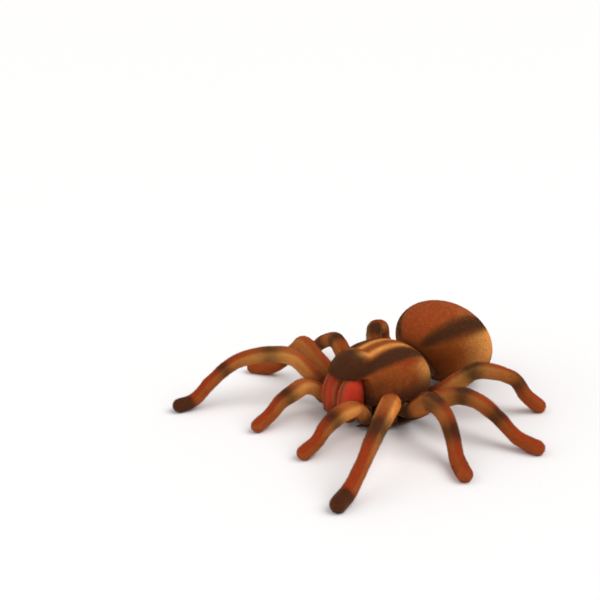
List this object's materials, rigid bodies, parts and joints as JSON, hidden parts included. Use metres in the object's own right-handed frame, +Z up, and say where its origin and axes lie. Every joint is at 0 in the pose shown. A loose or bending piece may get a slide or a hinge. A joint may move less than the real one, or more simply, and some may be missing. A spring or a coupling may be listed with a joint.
{
  "type": "toy tarantula",
  "caption": "Motorised toy tarantula with a velvety flocked skin, arched legs that swing at the hips, and drive wheels under the belly.",
  "frame": {"origin": "on the floor, at the middle of the front glide under the carapace", "axes": "+Z up, the head looks along -Y, the toy's left side is +X"},
  "size_m": [0.1994, 0.1846, 0.0556],
  "materials": {
    "flock_shell": "short velvety flock, rust brown with darker brown bands",
    "flock_limb": "short velvety flock, rust brown with ochre flanks, dark rings and dark feet",
    "flock_red": "short velvety flock, brick red",
    "flock_dark": "short velvety flock, dark brown",
    "tub_plastic": "fine-textured dark brown moulded plastic",
    "switch_plastic": "black moulded plastic",
    "wheel_rubber": "black ribbed rubber tyre"
  },
  "bodies": {
    "root": {"carapace": "flock_shell", "tub": "tub_plastic", "power_switch": "switch_plastic", "waist": "flock_dark", "abdomen": "flock_shell", "battery_hatch": "tub_plastic", "chelicera_left": "flock_red", "chelicera_right": "flock_red", "palp_left": "flock_limb", "palp_right": "flock_limb"},
    "leg_1_left": {"leg_1_left": "flock_limb"},
    "leg_2_left": {"leg_2_left": "flock_limb"},
    "leg_3_left": {"leg_3_left": "flock_limb"},
    "leg_4_left": {"leg_4_left": "flock_limb"},
    "leg_1_right": {"leg_1_right": "flock_limb"},
    "leg_2_right": {"leg_2_right": "flock_limb"},
    "leg_3_right": {"leg_3_right": "flock_limb"},
    "leg_4_right": {"leg_4_right": "flock_limb"},
    "wheel_left": {"wheel_left": "wheel_rubber"},
    "wheel_right": {"wheel_right": "wheel_rubber"}
  },
  "joints": [
    {"name": "leg_1_left_swing", "type": "hinge", "parent": "root", "child": "leg_1_left", "pos_m": [0.019, -0.009, 0.0085], "axis": [0, 0, 1], "range_deg": [-7, 7]},
    {"name": "leg_2_left_swing", "type": "hinge", "parent": "root", "child": "leg_2_left", "pos_m": [0.021, 0.004, 0.0085], "axis": [0, 0, 1], "range_deg": [-7, 7]},
    {"name": "leg_3_left_swing", "type": "hinge", "parent": "root", "child": "leg_3_left", "pos_m": [0.0195, 0.014, 0.0085], "axis": [0, 0, 1], "range_deg": [-7, 7]},
    {"name": "leg_4_left_swing", "type": "hinge", "parent": "root", "child": "leg_4_left", "pos_m": [0.0145, 0.024, 0.0085], "axis": [0, 0, 1], "range_deg": [-7, 7]},
    {"name": "leg_1_right_swing", "type": "hinge", "parent": "root", "child": "leg_1_right", "pos_m": [-0.019, -0.009, 0.0085], "axis": [0, 0, 1], "range_deg": [-7, 7]},
    {"name": "leg_2_right_swing", "type": "hinge", "parent": "root", "child": "leg_2_right", "pos_m": [-0.021, 0.004, 0.0085], "axis": [0, 0, 1], "range_deg": [-7, 7]},
    {"name": "leg_3_right_swing", "type": "hinge", "parent": "root", "child": "leg_3_right", "pos_m": [-0.0195, 0.014, 0.0085], "axis": [0, 0, 1], "range_deg": [-7, 7]},
    {"name": "leg_4_right_swing", "type": "hinge", "parent": "root", "child": "leg_4_right", "pos_m": [-0.0145, 0.024, 0.0085], "axis": [0, 0, 1], "range_deg": [-7, 7]},
    {"name": "wheel_left_spin", "type": "hinge", "parent": "root", "child": "wheel_left", "pos_m": [0.007, 0.012, 0.006], "axis": [1, 0, 0], "continuous": true},
    {"name": "wheel_right_spin", "type": "hinge", "parent": "root", "child": "wheel_right", "pos_m": [-0.007, 0.012, 0.006], "axis": [1, 0, 0], "continuous": true}
  ]
}
